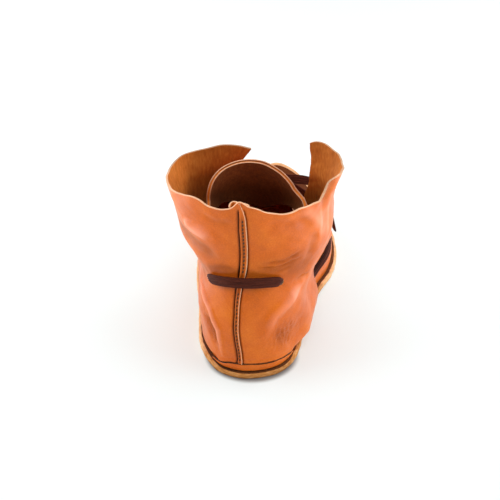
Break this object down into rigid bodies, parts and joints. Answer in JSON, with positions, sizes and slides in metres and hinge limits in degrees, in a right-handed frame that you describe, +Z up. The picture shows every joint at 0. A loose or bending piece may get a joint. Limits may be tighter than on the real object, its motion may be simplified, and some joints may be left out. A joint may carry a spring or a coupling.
{
  "type": "upturned toe shoe",
  "caption": "Soft leather ankle shoe with a wide flared collar, arched tongue, flat thong lace and a thin leather sole whose tip turns up past the vamp.",
  "frame": {"origin": "on the floor under the middle of the heel, on the sole's flat underside", "axes": "+Z up, +Y from heel to toe, +X to the wearer's right"},
  "size_m": [0.126, 0.2831, 0.1443],
  "materials": {
    "upper_leather": "orange tan grain leather, satin",
    "flesh_leather": "brown flesh side, matt",
    "sole_leather": "thick tan leather with a raw fibrous edge",
    "lace_leather": "dark brown flat thong, ribbed lengthwise"
  },
  "bodies": {
    "root": {"sole": "sole_leather", "rand": "upper_leather", "insole": "flesh_leather", "vamp": "upper_leather", "shaft": "upper_leather", "heel_strip": "upper_leather", "tongue": "flesh_leather", "lace_heel_bar": "lace_leather", "lace_run_left": "lace_leather", "lace_run_right": "lace_leather", "lace_knot": "lace_leather", "lace_end_left": "lace_leather", "lace_end_right": "lace_leather"}
  },
  "joints": []
}
